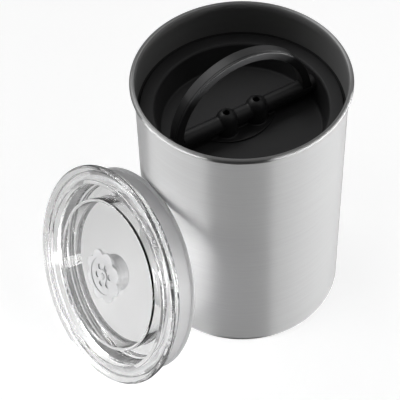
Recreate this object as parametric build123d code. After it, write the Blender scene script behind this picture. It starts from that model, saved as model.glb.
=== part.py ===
from build123d import *
import os
from math import cos, pi, radians, sin, sqrt

# A coffee canister that keeps beans airtight, drawn as it stands in use: the steel canister is
# open, its inner lid sits a little below the rim with the bail handle raised, and the clear
# outer lid has been taken off and leans on the canister's side.
# The origin is the centre of the base, on the floor, and +Z is up. All lengths are millimetres.

# Canister: a drawn steel tube with a rolled rim, on a pressed steel base
canister_height = 178.0
canister_radius = 63.0
wall_thickness = 0.6
rim_curl_radius = 1.6
rim_curl_gap_degrees = 40.0
base_thickness = 0.9
base_setback = 0.35
base_edge_round = 0.35
base_spigot_height = 3.0
base_spigot_thickness = 0.8
base_fit = 0.05

# Inner lid: a dished plunger of black plastic with a silicone wiper round it
lid_depth = 24.0
ring_wall_gap = 1.8
ring_slope = 0.4
ring_width = 8.7
ring_thickness = 2.2
ring_lip = 1.0
dish_depth = 17.0
dish_draft = 2.9
dish_corner_round = 1.2
dish_wall_thickness = 2.0
floor_thickness = 2.4
skirt_thickness = 2.0
skirt_height = 9.6
seal_groove_depth = 1.2
seal_groove_top = 1.9
seal_height = 5.6
seal_lip_thickness = 0.7
seal_lip_rise = 1.5
seal_running_clearance = 0.1

# Crossbar: the valve body across the dish, with two vent domes
bar_azimuth = 31.7
bar_radius = 5.0
bar_rise = 4.5
bar_end_clearance = 0.55
web_half_width = 2.0
bore_clearance = 0.05
dome_radius = 6.7
dome_spacing = 20.8
dome_rise = 1.3
vent_radius = 2.0
vent_lead_in = 0.6
pad_half_length = 24.5
pad_half_width = 12.4
pad_thickness = 0.7
pad_gasket_thickness = 0.5
pad_gasket_inset = 1.0
stem_radius = 4.4
stem_clearance = 0.1
stem_reach = 2.3
retainer_radius = 7.2
retainer_thickness = 1.6
retainer_edge = 0.4

# Bail handle and the rotary valve that it turns
bail_end_setback = 3.15
bail_band = 5.2
bail_thickness = 8.2
bail_edge_round = 0.7
bail_notch_clearance = 0.3
bail_rest_tilt = 87.0
spindle_radius = 3.0
spindle_end_setback = 0.8
spindle_tang = 3.4
tang_fit = 0.05
port_radius = 1.6
seal_ring_section_radius = 0.5
seal_ring_offset = 4.0
seal_ring_fit = 0.02

# Outer lid: a clear plug lid, built about its own axis with its top face at height 0
cover_overhang = 3.8
cover_edge_width = 1.9
cover_edge_drop = 1.9
cover_edge_round = 1.1
flange_thickness = 4.8
rest_depth = 8.6
rest_overlap = 2.6
shoulder_drop = 0.2
ledge_width = 4.0
ledge_drop = 0.6
land_width = 2.6
trough_wall = 2.4
trough_draft = 0.7
trough_depth = 14.6
trough_width = 9.2
trough_inner_draft = 1.2
trough_corner_round = 1.4
cover_thickness = 2.2
plate_drop = 1.5
plug_skirt_height = 4.5
plug_lip = 0.9
plug_lip_height = 0.9
gasket_squeeze = 0.4
gasket_thickness = 2.8
gasket_lip = 1.4
gasket_lip_height = 1.0
gasket_edge_round = 0.4

# Vent valve in the middle of the outer lid
valve_flange_radius = 17.0
valve_flange_thickness = 1.5
valve_petal_count = 8
valve_petal_radius = 5.2
valve_rim_width = 5.0
valve_well_depth = 0.7
valve_hub_radius = 4.2
valve_window_count = 6
valve_window_radius = 1.9
valve_window_edge = 0.2
valve_neck_radius = 9.6
valve_neck_wall = 1.2
valve_neck_clearance = 0.15
valve_neck_reach = 4.6
washer_inset = 2.5
washer_thickness = 0.8
valve_stem_bore_radius = 1.25
membrane_side_clearance = 0.4
membrane_thickness = 0.7
membrane_stem_clearance = 0.05
membrane_head_radius = 2.2
membrane_head_height = 0.9
cup_collar = 1.85
cup_wall = 1.1
cup_length = 8.8
cup_edge_round = 1.6
cup_hole_radius = 1.1
cup_hole_ring_radius = 5.6
cup_fit = 0.05

# The outer lid's place, leaning on the canister's side
lean_azimuth = 216.2
lean_angle = 20.6
lean_clearance = 0.3

# Every cutting tool runs this far past what it cuts
overrun = 5.0

# Heights and radii of the inner lid, from the canister's bore inwards
bore_radius = canister_radius - wall_thickness
ring_top = canister_height - lid_depth
ring_radius = bore_radius - ring_wall_gap
dish_mouth_radius = ring_radius - ring_width
dish_floor_radius = dish_mouth_radius - dish_draft
dish_floor = ring_top - dish_depth
bar_axis_height = bar_rise + bar_radius
bar_axis = dish_floor + bar_axis_height
dish_flare = dish_draft / (dish_depth - ring_lip)
bar_reach = dish_floor_radius + dish_flare * bar_axis_height - bar_end_clearance
dome_centre_height = bar_axis_height + dome_rise
bail_radius = bar_reach - bail_end_setback
bail_boss_radius = bail_thickness / 2
notch_inner = bail_radius - bail_band - bail_notch_clearance
notch_outer = bail_radius + bail_notch_clearance

# Heights and radii of the outer lid, whose gasket fits the bore and whose flange covers the rim
gasket_radius = bore_radius + gasket_squeeze
gasket_lip_radius = gasket_radius + gasket_lip
plug_radius = gasket_radius - gasket_thickness
trough_outer_radius = plug_radius - trough_wall
trough_inner_radius = trough_outer_radius - trough_width
land_radius = trough_outer_radius + land_width
ledge_radius = land_radius + ledge_width
rest_radius = bore_radius + rest_overlap
cover_radius = bore_radius + 2 * rim_curl_radius + cover_overhang
shoulder_radius = cover_radius - cover_edge_width
plug_depth = trough_depth + cover_thickness + plug_skirt_height
plate_top = -plate_drop
plate_underside = plate_top - cover_thickness

# Heights and radii of the vent valve, from its neck outwards
neck_bore_radius = valve_neck_radius - valve_neck_wall
valve_hole_radius = valve_neck_radius + valve_neck_clearance
valve_well_radius = valve_flange_radius - valve_rim_width
window_centre_radius = neck_bore_radius - valve_window_edge - valve_window_radius
washer_radius = valve_flange_radius - washer_inset
membrane_radius = neck_bore_radius - membrane_side_clearance
cup_radius = valve_neck_radius + cup_fit + cup_collar
valve_flange_base = plate_top + washer_thickness
valve_top = valve_flange_base + valve_flange_thickness
neck_bottom = plate_underside - valve_neck_reach


def turned(points, rounds=()):
    """A solid turned about +Z from an outline of (radius, height) points.
    Each of rounds is one of those points and the radius that rounds it."""
    face = make_face(Polyline(*points, close=True))
    for point, radius in rounds:
        corner = face.vertices().sort_by_distance(Vector(*point))[0]
        face = fillet(corner, radius)
    return revolve(Plane.XZ * face, Axis.Z)


def tube(outer, inner, bottom, top):
    """A plain ring between two heights."""
    return turned([(inner, bottom), (outer, bottom), (outer, top), (inner, top)])


def rod(radius, bottom, top):
    """A plain round rod on +Z between two heights."""
    align = (Align.CENTER, Align.CENTER, Align.MIN)
    return Pos(0, 0, bottom) * Cylinder(radius, top - bottom, align=align)


def rod_along_x(radius, left, right):
    """A plain round rod on the X axis between two places."""
    return Rot(0, 90, 0) * rod(radius, left, right)


def box_between(low, high):
    """A box from its lowest to its highest corner."""
    size = [b - a for a, b in zip(low, high)]
    middle = [(a + b) / 2 for a, b in zip(low, high)]
    return Pos(*middle) * Box(*size)


# The steel canister

def make_canister_wall():
    """The tube, with its rim rolled outwards into an open curl that starts at the bore."""
    curl_centre = (bore_radius + rim_curl_radius, canister_height - rim_curl_radius)
    wall = make_face(Polyline(
        (bore_radius, base_thickness), (canister_radius, base_thickness),
        (canister_radius, curl_centre[1]), (bore_radius, curl_centre[1]), close=True))
    curl = Circle(rim_curl_radius) - Circle(rim_curl_radius - wall_thickness)
    reach = 2 * rim_curl_radius
    gap = radians(rim_curl_gap_degrees)
    wedge = make_face(
        Polyline((0, 0), (-reach, 0), (-reach * cos(gap), -reach * sin(gap)), close=True))
    section = wall + Pos(*curl_centre) * (curl - wedge)
    return revolve(Plane.XZ * section, Axis.Z)


def make_canister_base():
    """The flat base, with a short spigot that the tube is welded over."""
    edge = canister_radius - base_setback
    spigot = bore_radius - base_fit
    spigot_top = base_thickness + base_spigot_height
    foot = (edge, 0)
    return turned(
        [(0, 0), foot, (edge, base_thickness), (spigot, base_thickness), (spigot, spigot_top),
         (spigot - base_spigot_thickness, spigot_top),
         (spigot - base_spigot_thickness, base_thickness), (0, base_thickness)],
        rounds=[(foot, base_edge_round)])


# The inner lid

def make_inner_lid_dish():
    """Flat top ring, dish and outer skirt in one moulding, with a groove for the wiper seal."""
    groove_floor = ring_radius - seal_groove_depth
    groove_top = ring_top - seal_groove_top
    groove_bottom = groove_top - seal_height
    skirt_bottom = ring_top - skirt_height
    underside = ring_top - ring_thickness
    floor_bottom = dish_floor - floor_thickness
    skirt_inner = groove_floor - skirt_thickness
    inside_corner = (dish_floor_radius, dish_floor)
    outside_corner = (dish_floor_radius + dish_wall_thickness, floor_bottom)
    outline = [
        (0, dish_floor), inside_corner, (dish_mouth_radius, ring_top - ring_lip),
        (dish_mouth_radius + ring_lip, ring_top), (ring_radius, ring_top + ring_slope),
        (ring_radius, groove_top), (groove_floor, groove_top), (groove_floor, groove_bottom),
        (ring_radius, groove_bottom), (ring_radius, skirt_bottom), (skirt_inner, skirt_bottom),
        (skirt_inner, underside), (dish_mouth_radius + dish_wall_thickness, underside),
        outside_corner, (0, floor_bottom)]
    rounds = [(inside_corner, dish_corner_round), (outside_corner, dish_wall_thickness)]
    dish = turned(outline, rounds)
    for side in (-1, 1):
        stem = rod(stem_radius + stem_clearance, floor_bottom - overrun, dish_floor + overrun)
        dish -= Rot(0, 0, bar_azimuth) * Pos(side * dome_spacing / 2, 0, 0) * stem
    return dish


def make_inner_lid_seal():
    """Silicone wiper with a lip at its top and another at its bottom."""
    inner = ring_radius - seal_groove_depth
    top = ring_top - seal_groove_top
    bottom = top - seal_height
    tip = bore_radius - seal_running_clearance
    root = ring_radius + seal_lip_thickness / 2
    top_tip = ring_top + ring_slope
    waist = top - seal_lip_rise
    low_tip = bottom + seal_lip_rise / 2
    return turned([
        (inner, bottom), (root, bottom), (tip, low_tip), (tip, low_tip + seal_lip_thickness),
        (root, bottom + seal_lip_rise), (root, waist), (tip, top_tip - seal_lip_thickness),
        (tip, top_tip), (ring_radius, top), (inner, top)])


def bar_place():
    """Where the crossbar's own frame lies: X along the bar, height 0 on the dish floor."""
    return Pos(0, 0, dish_floor) * Rot(0, 0, bar_azimuth)


def make_vent_column():
    """One dome on its column, with the stem that goes through the dish floor."""
    stem_bottom = -floor_thickness - stem_reach
    crown = dome_centre_height + dome_radius
    middle = dome_radius * sqrt(1 / 2)
    shoulder = (dome_radius, dome_centre_height)
    outline = Polyline((0, crown), (0, stem_bottom), (stem_radius, stem_bottom),
                       (stem_radius, pad_gasket_thickness), (dome_radius, pad_gasket_thickness),
                       shoulder)
    outline += ThreePointArc(shoulder, (middle, dome_centre_height + middle), (0, crown))
    return revolve(Plane.XZ * make_face(outline), Axis.Z)


def make_dish_room():
    """The room inside the dish, less the bar's clearance from its wall, to the ring's top."""
    mouth = dish_depth - ring_lip
    corner = (dish_floor_radius - bar_end_clearance, 0)
    return turned(
        [(0, 0), corner, (dish_mouth_radius - bar_end_clearance, mouth),
         (dish_mouth_radius - bar_end_clearance, mouth + overrun), (0, mouth + overrun)],
        rounds=[(corner, dish_corner_round)])


def make_crossbar():
    """The valve body: a bored bar on a web, two vented domes on a pad and a stem under each."""
    pad_arch = (pad_half_length ** 2 + pad_half_width ** 2) / (2 * pad_half_width)
    shift = pad_arch - pad_half_width
    pad_shape = Pos(0, -shift) * Circle(pad_arch) & Pos(0, shift) * Circle(pad_arch)
    section = Pos(0, bar_axis_height) * Circle(bar_radius)
    section += Pos(0, bar_axis_height / 2) * Rectangle(2 * web_half_width, bar_axis_height)
    body = extrude(Plane.YZ * section, bar_reach + overrun, both=True)
    body &= make_dish_room()
    body -= extrude(pad_shape, pad_gasket_thickness)
    body += Pos(0, 0, pad_gasket_thickness) * extrude(pad_shape, pad_thickness)
    for side in (-1, 1):
        body += Pos(side * dome_spacing / 2, 0, 0) * make_vent_column()
    bore = rod_along_x(spindle_radius + bore_clearance, -bar_reach - overrun, bar_reach + overrun)
    body -= Pos(0, 0, bar_axis_height) * bore
    crown = dome_centre_height + sqrt(dome_radius ** 2 - vent_radius ** 2)
    top = dome_centre_height + dome_radius + overrun
    bottom = -floor_thickness - stem_reach - overrun
    vent = turned([(0, bottom), (vent_radius, bottom), (vent_radius, crown - vent_lead_in),
                   (vent_radius + vent_lead_in, crown), (vent_radius + vent_lead_in, top), (0, top)])
    notch_floor = bar_axis_height - bail_boss_radius - bail_notch_clearance
    for side in (-1, 1):
        body -= Pos(side * dome_spacing / 2, 0, 0) * vent
        near, far = sorted((side * notch_inner, side * notch_outer))
        body -= box_between((near, -bail_boss_radius - bail_notch_clearance, notch_floor),
                            (far, overrun + bar_radius, bar_axis_height + bar_radius + overrun))
    return bar_place() * body


def make_crossbar_gasket():
    """Flat seal between the domes' pad and the dish floor."""
    half_length = pad_half_length - pad_gasket_inset
    half_width = pad_half_width - pad_gasket_inset
    arch = (half_length ** 2 + half_width ** 2) / (2 * half_width)
    shift = arch - half_width
    shape = Pos(0, -shift) * Circle(arch) & Pos(0, shift) * Circle(arch)
    for side in (-1, 1):
        shape -= Pos(side * dome_spacing / 2, 0) * Circle(stem_radius + stem_clearance)
    return bar_place() * extrude(shape, pad_gasket_thickness)


def make_vent_retainer(side):
    """Push-on ring that holds one vent stem under the dish floor."""
    top = -floor_thickness
    bottom = top - retainer_thickness
    ring = turned([(stem_radius, bottom), (retainer_radius - retainer_edge, bottom),
                   (retainer_radius, bottom + retainer_edge), (retainer_radius, top), (stem_radius, top)])
    return bar_place() * Pos(side * dome_spacing / 2, 0, 0) * ring


# The bail handle and its rotary valve

def bail_place():
    """Where the bail's own frame lies: X along the hinge, Z up the raised bail."""
    lean_back = bail_rest_tilt - 90
    return Pos(0, 0, bar_axis) * Rot(0, 0, bar_azimuth) * Rot(lean_back, 0, 0)


def make_bail_handle():
    """A flat half ring whose feet end in bosses that clip over the valve spindle."""
    band = Circle(bail_radius) - Circle(bail_radius - bail_band)
    low_corner = -bail_radius - overrun
    keep = Pos(0, bail_radius / 2) * Rectangle(2 * bail_radius, bail_radius)
    arch = extrude(Plane.XZ * (band & keep), bail_thickness / 2, both=True)
    arch = fillet(arch.edges().filter_by(GeomType.CIRCLE), bail_edge_round)
    for side in (-1, 1):
        inner, outer = sorted((side * (bail_radius - bail_band), side * bail_radius))
        arch += rod_along_x(bail_boss_radius, inner, outer)
        slot = box_between((inner - overrun, -spindle_tang / 2 - tang_fit, low_corner),
                           (outer + overrun, spindle_tang / 2 + tang_fit, spindle_tang / 2 + tang_fit))
        arch -= slot
    return bail_place() * arch


def make_valve_spindle():
    """Rotary valve: a rod with two cross ports, four seal grooves and a square under each foot."""
    reach = bar_reach - spindle_end_setback
    spindle = rod_along_x(spindle_radius, -reach, reach)
    groove_floor = spindle_radius - 2 * seal_ring_section_radius
    half_square = spindle_tang / 2
    for side in (-1, 1):
        near, far = sorted((side * notch_inner, side * notch_outer))
        neck = rod_along_x(spindle_radius + overrun, near, far)
        square = box_between((near - overrun, -half_square, -half_square),
                             (far + overrun, half_square, half_square))
        spindle -= neck - square
        spindle -= Pos(side * dome_spacing / 2, 0, 0) * rod(port_radius, -spindle_radius - overrun,
                                                            spindle_radius + overrun)
    for place in seal_ring_places():
        half_width = seal_ring_section_radius + seal_ring_fit
        groove = rod_along_x(spindle_radius + overrun, place - half_width, place + half_width)
        groove -= rod_along_x(groove_floor, place - overrun, place + overrun)
        spindle -= groove
    return bail_place() * spindle


def seal_ring_places():
    """Where the spindle's seal rings lie along it, one each side of each port."""
    return [port + offset
            for port in (-dome_spacing / 2, dome_spacing / 2)
            for offset in (-seal_ring_offset, seal_ring_offset)]


def make_spindle_seal(place):
    """A round seal ring in its groove on the spindle."""
    centre_radius = spindle_radius - seal_ring_section_radius + seal_ring_fit
    ring = Torus(centre_radius, seal_ring_section_radius)
    return bail_place() * Pos(place, 0, 0) * Rot(0, 90, 0) * ring


# The clear outer lid

def cover_place():
    """Where the outer lid's own frame lies: its axis leans back on the canister's side."""
    lean = radians(lean_angle)
    rear = -plug_depth + plug_lip_height
    touch = canister_radius + lean_clearance
    out = touch + gasket_lip_radius * sin(lean) - rear * cos(lean)
    outer_edge = cover_radius * cos(lean) + cover_edge_drop * sin(lean)
    rear_edge = (cover_radius - cover_edge_round) * cos(lean) + flange_thickness * sin(lean)
    lip_edge = gasket_lip_radius * cos(lean) - rear * sin(lean)
    edge_low = max(outer_edge, rear_edge, lip_edge)
    turn = Rot(0, 0, lean_azimuth) * Rot(0, 90 - lean_angle, 0)
    centre = Rot(0, 0, lean_azimuth) * Pos(out, 0, edge_low)
    return centre * Rot(0, 0, -lean_azimuth) * turn


def make_cover():
    """The clear lid: a stepped flange, a deep trough that plugs the mouth and a flat centre."""
    trough_floor = -trough_depth
    floor_underside = trough_floor - cover_thickness
    edge_radius = cover_radius - cover_edge_round
    lip_top = -plug_depth + plug_lip_height
    lip_radius = plug_radius + plug_lip
    plug_inner = plug_radius - 2 * cover_thickness
    trough_inner_foot = trough_inner_radius - trough_inner_draft
    plate_edge = (trough_inner_radius, plate_top)
    inner_foot = (trough_inner_foot, trough_floor)
    outer_foot = (trough_outer_radius - trough_draft, trough_floor)
    outer_edge = (cover_radius, -cover_edge_drop)
    outline = [
        (valve_hole_radius, plate_top), plate_edge, inner_foot, outer_foot,
        (trough_outer_radius, 0), (land_radius, 0), (land_radius, -ledge_drop),
        (ledge_radius, -ledge_drop), (ledge_radius, -shoulder_drop),
        (shoulder_radius, -shoulder_drop), outer_edge, (edge_radius, -flange_thickness),
        (rest_radius, -flange_thickness), (rest_radius, -rest_depth),
        (plug_radius, -rest_depth), (plug_radius, lip_top), (lip_radius, lip_top),
        (lip_radius, -plug_depth), (plug_inner, -plug_depth), (plug_inner, floor_underside),
        (trough_inner_foot - cover_thickness, floor_underside),
        (trough_inner_radius - cover_thickness, plate_underside),
        (valve_hole_radius, plate_underside)]
    rounds = [(corner, trough_corner_round) for corner in (plate_edge, inner_foot, outer_foot)]
    rounds.append((outer_edge, cover_edge_round))
    return cover_place() * turned(outline, rounds)


def make_cover_gasket():
    """Silicone band round the plug, with a lip at its lower edge that seals on the bore."""
    top = -rest_depth
    bottom = -plug_depth + plug_lip_height
    low_edge = (gasket_lip_radius, bottom)
    high_edge = (gasket_radius, top)
    band = turned(
        [(plug_radius, bottom), low_edge, (gasket_lip_radius, bottom + gasket_lip_height),
         (gasket_radius, bottom + 2 * gasket_lip_height), high_edge, (plug_radius, top)],
        rounds=[(low_edge, gasket_edge_round), (high_edge, gasket_edge_round)])
    return cover_place() * band


def make_valve_washer():
    """Soft washer between the valve's flange and the lid."""
    return cover_place() * tube(washer_radius, valve_hole_radius, plate_top, valve_flange_base)


def ring_of_holes(radius, circle_radius, count, bottom, top):
    """Round tools on a circle, for the windows and holes of the lid's valve."""
    return [Rot(0, 0, 360 * k / count) * Pos(circle_radius, 0, 0) * rod(radius, bottom, top)
            for k in range(count)]


def make_valve_body():
    """Vent valve's body: a petalled flange with windows, and a neck through the lid."""
    flange = Circle(valve_flange_radius - valve_petal_radius / 2)
    for k in range(valve_petal_count):
        angle = 2 * pi * k / valve_petal_count
        reach = valve_flange_radius - valve_petal_radius
        flange += Pos(reach * cos(angle), reach * sin(angle)) * Circle(valve_petal_radius)
    body = Pos(0, 0, valve_flange_base) * extrude(flange, valve_flange_thickness)
    body -= tube(valve_well_radius, valve_hub_radius, valve_top - valve_well_depth, valve_top + overrun)
    body += tube(valve_neck_radius, neck_bore_radius, neck_bottom, valve_flange_base)
    for window in ring_of_holes(valve_window_radius, window_centre_radius, valve_window_count,
                                valve_flange_base - overrun, valve_top + overrun):
        body -= window
    body -= rod(valve_stem_bore_radius, valve_flange_base - overrun, valve_top + overrun)
    return cover_place() * body


def make_valve_membrane():
    """Silicone check flap: a thin disc on a stem that is pulled through the hub."""
    stem = valve_stem_bore_radius - membrane_stem_clearance
    head_base = valve_top + membrane_stem_clearance
    disc_top = valve_flange_base - membrane_stem_clearance
    head_top = head_base + membrane_head_height
    disc_bottom = disc_top - membrane_thickness
    flap = turned([
        (0, disc_bottom), (membrane_radius, disc_bottom), (membrane_radius, disc_top),
        (stem, disc_top), (stem, head_base), (membrane_head_radius, head_base),
        (membrane_head_radius, head_base + membrane_head_height / 2), (stem, head_top),
        (0, head_top)])
    return cover_place() * flap


def make_valve_cup():
    """Cup that clips over the neck behind the lid and keeps grounds off the flap."""
    top = plate_underside
    bottom = top - cup_length
    inner = cup_radius - cup_wall
    seat = valve_neck_radius + cup_fit
    rear_edge = (cup_radius, bottom)
    cup = turned(
        [(0, bottom), rear_edge, (cup_radius, top), (seat, top), (seat, neck_bottom),
         (inner, neck_bottom), (inner, bottom + cup_wall), (0, bottom + cup_wall)],
        rounds=[(rear_edge, cup_edge_round)])
    for hole in ring_of_holes(cup_hole_radius, cup_hole_ring_radius, valve_window_count,
                              bottom - overrun, bottom + cup_wall + overrun):
        cup -= hole
    return cover_place() * cup


def main():
    nodes = {
        "canister_wall": make_canister_wall(),
        "canister_base": make_canister_base(),
        "inner_lid_dish": make_inner_lid_dish(),
        "inner_lid_seal": make_inner_lid_seal(),
        "crossbar": make_crossbar(),
        "crossbar_gasket": make_crossbar_gasket(),
        "vent_retainer_left": make_vent_retainer(-1),
        "vent_retainer_right": make_vent_retainer(1),
        "bail_handle": make_bail_handle(),
        "valve_spindle": make_valve_spindle(),
        "outer_lid_cover": make_cover(),
        "outer_lid_gasket": make_cover_gasket(),
        "lid_valve_washer": make_valve_washer(),
        "lid_valve_body": make_valve_body(),
        "lid_valve_membrane": make_valve_membrane(),
        "lid_valve_cup": make_valve_cup(),
    }
    for number, place in enumerate(seal_ring_places(), start=1):
        nodes[f"spindle_seal_{number}"] = make_spindle_seal(place)
    os.makedirs("parts", exist_ok=True)
    for name, shape in nodes.items():
        export_step(shape, f"parts/{name}.step")
        print(name, round(shape.volume), "mm3")


if __name__ == "__main__":
    main()
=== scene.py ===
# %% [markdown]
# # A coffee canister with two lids
#
# The canister is a brushed steel tube with a rolled rim. A black inner lid slides down its bore and
# lets the air out through a valve in its crossbar, which the bail handle turns. A clear outer lid
# leans on the canister's side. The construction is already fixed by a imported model, so this script
# only dresses it: it makes finer pieces in the same places, and gives every piece its finish.

# %% The frame that every piece is built around
from math import cos, pi, radians, sin, sqrt, tau

import bmesh
import bpy
from mathutils import Matrix, Vector


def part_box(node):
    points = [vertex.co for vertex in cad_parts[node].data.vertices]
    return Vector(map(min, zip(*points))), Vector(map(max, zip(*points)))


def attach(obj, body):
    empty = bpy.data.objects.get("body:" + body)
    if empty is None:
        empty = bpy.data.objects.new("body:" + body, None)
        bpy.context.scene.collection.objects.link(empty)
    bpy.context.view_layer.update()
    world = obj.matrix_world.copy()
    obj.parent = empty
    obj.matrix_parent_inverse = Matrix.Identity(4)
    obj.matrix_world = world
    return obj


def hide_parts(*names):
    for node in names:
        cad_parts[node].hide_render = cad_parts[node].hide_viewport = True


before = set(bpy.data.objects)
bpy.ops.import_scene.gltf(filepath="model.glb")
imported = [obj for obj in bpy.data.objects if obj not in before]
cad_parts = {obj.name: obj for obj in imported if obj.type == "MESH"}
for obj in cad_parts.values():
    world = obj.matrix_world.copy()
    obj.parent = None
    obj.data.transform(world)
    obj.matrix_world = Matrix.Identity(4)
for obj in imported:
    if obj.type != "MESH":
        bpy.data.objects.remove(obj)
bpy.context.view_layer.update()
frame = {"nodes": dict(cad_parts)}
nodes = frame["nodes"]
print("canister parts from the frame:", len(nodes))

# %% [markdown]
# ## Sizes
#
# A maker reads sizes off a drawing. Here the drawing is the frame itself: the rim's height and
# width come from the canister wall's box. The other sizes are the ones the pieces were drawn with,
# in metres, and each piece's are given where it is made.

# %% Sizes of the canister
mm = 0.001
wall_low, wall_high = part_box("canister_wall")
canister_height = wall_high.z
rim_curl_radius = 1.6 * mm
wall_thickness = 0.6 * mm
rim_curl_gap = 40
bore_radius = wall_high.x - 2 * rim_curl_radius
canister_radius = bore_radius + wall_thickness
print("bore", round(2 * bore_radius / mm, 1), "mm wide, rim", round(canister_height / mm, 1), "mm high")

# %% [markdown]
# ## Helpers for modelling
#
# Most of these pieces are turned on a lathe or drawn from a die, so each is made the way a drawing
# of it is made: its half section is traced as a wire, the corners of the wire are rounded, and the
# wire is spun about the axis. Tracing starts from a small plane that is merged to one vertex, which
# is then extruded from corner to corner.


# %% Selecting and editing
def only(piece):
    """Makes piece the one selected and active object."""
    bpy.ops.object.select_all(action="DESELECT")
    piece.select_set(True)
    bpy.context.view_layer.objects.active = piece
    return piece


def edit(piece):
    """Opens piece in edit mode, with nothing selected."""
    only(piece)
    bpy.ops.object.mode_set(mode="EDIT")
    bpy.ops.mesh.select_all(action="DESELECT")


def done():
    bpy.ops.object.mode_set(mode="OBJECT")


def pick(piece, test):
    """In edit mode, selects the vertices whose place passes the test, with what they bound."""
    drawing = bmesh.from_edit_mesh(piece.data)
    for vertex in drawing.verts:
        vertex.select = test(vertex.co)
    drawing.select_flush(True)
    bmesh.update_edit_mesh(piece.data)


def named(piece, name):
    piece.name = piece.data.name = name
    return piece


def placed(piece, place):
    """Moves a piece to its place and puts that place into its mesh."""
    only(piece)
    piece.matrix_world = place @ piece.matrix_world
    bpy.ops.object.transform_apply(location=True, rotation=True, scale=True)
    return piece


crease_angle = radians(32)


def smooth(piece, angle=crease_angle):
    only(piece)
    bpy.ops.object.shade_smooth_by_angle(angle=angle)
    return piece

# %% Tracing a section and turning it
weld = 0.001 * mm
corner_segments = 6


def trace(name, points, rounds=()):
    """A closed wire through (radius, height) points, its chosen corners rounded."""
    bpy.ops.object.select_all(action="DESELECT")
    bpy.ops.mesh.primitive_plane_add(size=mm)
    wire = named(bpy.context.object, name)
    edit(wire)
    bpy.ops.mesh.select_all(action="SELECT")
    bpy.ops.mesh.merge(type="CENTER")
    bpy.ops.transform.translate(value=(points[0][0], 0, points[0][1]))
    for (radius, height), (next_radius, next_height) in zip(points, [*points[1:], points[0]]):
        step = (next_radius - radius, 0, next_height - height)
        bpy.ops.mesh.extrude_region_move(TRANSFORM_OT_translate={"value": step})
    bpy.ops.mesh.select_all(action="SELECT")
    bpy.ops.mesh.remove_doubles(threshold=weld)
    for (radius, height), size in rounds:
        corner = Vector((radius, 0, height))
        bpy.ops.mesh.select_all(action="DESELECT")
        pick(wire, lambda place: (place - corner).length < weld)
        bpy.ops.mesh.bevel(offset=size, segments=corner_segments, affect="VERTICES", clamp_overlap=True)
    done()
    return wire


def turn(wire, steps):
    """Spins a wire once about the vertical axis, then closes seams and poles."""
    edit(wire)
    bpy.ops.mesh.select_all(action="SELECT")
    bpy.ops.mesh.spin(steps=steps, angle=tau, center=(0, 0, 0), axis=(0, 0, 1))
    bpy.ops.mesh.select_all(action="SELECT")
    bpy.ops.mesh.remove_doubles(threshold=weld)
    bpy.ops.mesh.delete_loose()
    bpy.ops.mesh.select_all(action="SELECT")
    bpy.ops.mesh.normals_make_consistent(inside=False)
    done()
    return wire


def turned(name, points, rounds=(), *, steps):
    return smooth(turn(trace(name, points, rounds), steps))


# %% Combining pieces
def combine(piece, tool, operation):
    """Joins, cuts or trims a piece with a tool, which is used up."""
    only(piece)
    modifier = piece.modifiers.new(operation.title(), "BOOLEAN")
    modifier.operation = operation
    modifier.solver = "EXACT"
    modifier.object = tool
    bpy.ops.object.modifier_apply(modifier=modifier.name)
    bpy.data.objects.remove(tool)
    return piece


def rod(radius, length, place, turn_to=(0, 0, 0), sides=64):
    """A round rod centred on a place. It is cut to shape by what uses it."""
    bpy.ops.object.select_all(action="DESELECT")
    bpy.ops.mesh.primitive_cylinder_add(
        vertices=sides, radius=radius, depth=length, location=place, rotation=turn_to)
    bpy.ops.object.transform_apply(location=True, rotation=True, scale=True)
    return bpy.context.object


def block(low, high):
    """A block between two corners. It is cut to shape by what uses it."""
    bpy.ops.object.select_all(action="DESELECT")
    size = Vector(high) - Vector(low)
    bpy.ops.mesh.primitive_cube_add(size=1, location=(Vector(high) + Vector(low)) / 2, scale=size)
    bpy.ops.object.transform_apply(location=True, rotation=True, scale=True)
    return bpy.context.object


def tidy_mesh(piece):
    """Closes seams left by combining, and points every face outwards."""
    edit(piece)
    bpy.ops.mesh.select_all(action="SELECT")
    bpy.ops.mesh.remove_doubles(threshold=weld)
    bpy.ops.mesh.normals_make_consistent(inside=False)
    done()
    return piece

# %% [markdown]
# ## Helpers for finishes
#
# A finish is one Principled shader and a few nodes that vary its colour, roughness and surface.
# Writing those nodes one by one hides what they compute, so a small class wraps a socket and lets
# the nodes be written as sums: `wave * 0.5 + 0.5` adds the two Math nodes that it says. A second
# class adds every other node, in the same way for the pieces, the floor and the sky.


# %% A wire in a shader
class Wire:
    """A value on its way through a finish's nodes."""

    def __init__(self, nodes, socket):
        self.nodes = nodes
        self.socket = socket

    def maths(self, operation, *values):
        inputs = dict(enumerate(values))
        return self.nodes.node("Math", {"operation": operation}, inputs)

    def __add__(self, other):
        return self.maths("ADD", self, other)

    def __radd__(self, other):
        return self.maths("ADD", other, self)

    def __sub__(self, other):
        return self.maths("SUBTRACT", self, other)

    def __rsub__(self, other):
        return self.maths("SUBTRACT", other, self)

    def __mul__(self, other):
        return self.maths("MULTIPLY", self, other)

    def __rmul__(self, other):
        return self.maths("MULTIPLY", other, self)

    def __lt__(self, other):
        return self.maths("LESS_THAN", self, other)

    def __gt__(self, other):
        return self.maths("GREATER_THAN", self, other)

    def root(self):
        return self.maths("SQRT", self)

    def largest(self, other):
        return self.maths("MAXIMUM", self, other)


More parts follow.
